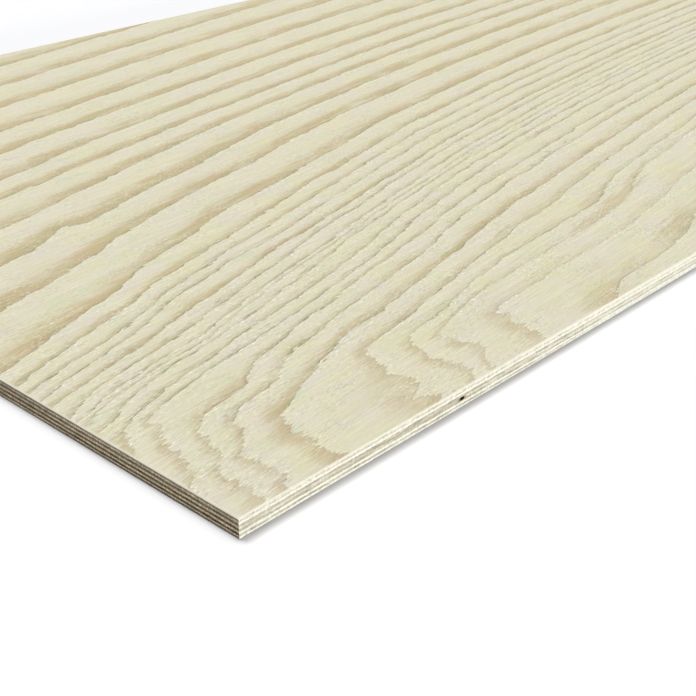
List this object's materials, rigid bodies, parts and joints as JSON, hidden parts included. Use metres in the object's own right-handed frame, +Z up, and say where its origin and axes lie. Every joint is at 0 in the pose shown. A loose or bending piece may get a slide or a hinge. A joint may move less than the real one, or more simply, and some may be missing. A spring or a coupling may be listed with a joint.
{
  "type": "plywood sheet",
  "caption": "Flat rectangular softwood plywood sheet of cross-laminated veneers, with sanded figured faces, eased arrises and bare banded edges.",
  "frame": {"origin": "middle of the underside, on the surface that the sheet lies on", "axes": "+X along the face grain and the sheet's length, +Y across the width, +Z up through the thickness to the face veneer"},
  "size_m": [2.44, 1.22, 0.018],
  "materials": {
    "face_veneer": "bare, sanded",
    "crossband": "bare, sawn edge",
    "core_veneer": "bare, sawn edge",
    "back_veneer": "bare, sanded"
  },
  "bodies": {
    "root": {"face_veneer": "face_veneer", "crossband_1": "crossband", "core_veneer_1": "core_veneer", "crossband_2": "crossband", "core_veneer_2": "core_veneer", "crossband_3": "crossband", "core_veneer_3": "core_veneer", "crossband_4": "crossband", "back_veneer": "back_veneer"}
  },
  "joints": []
}
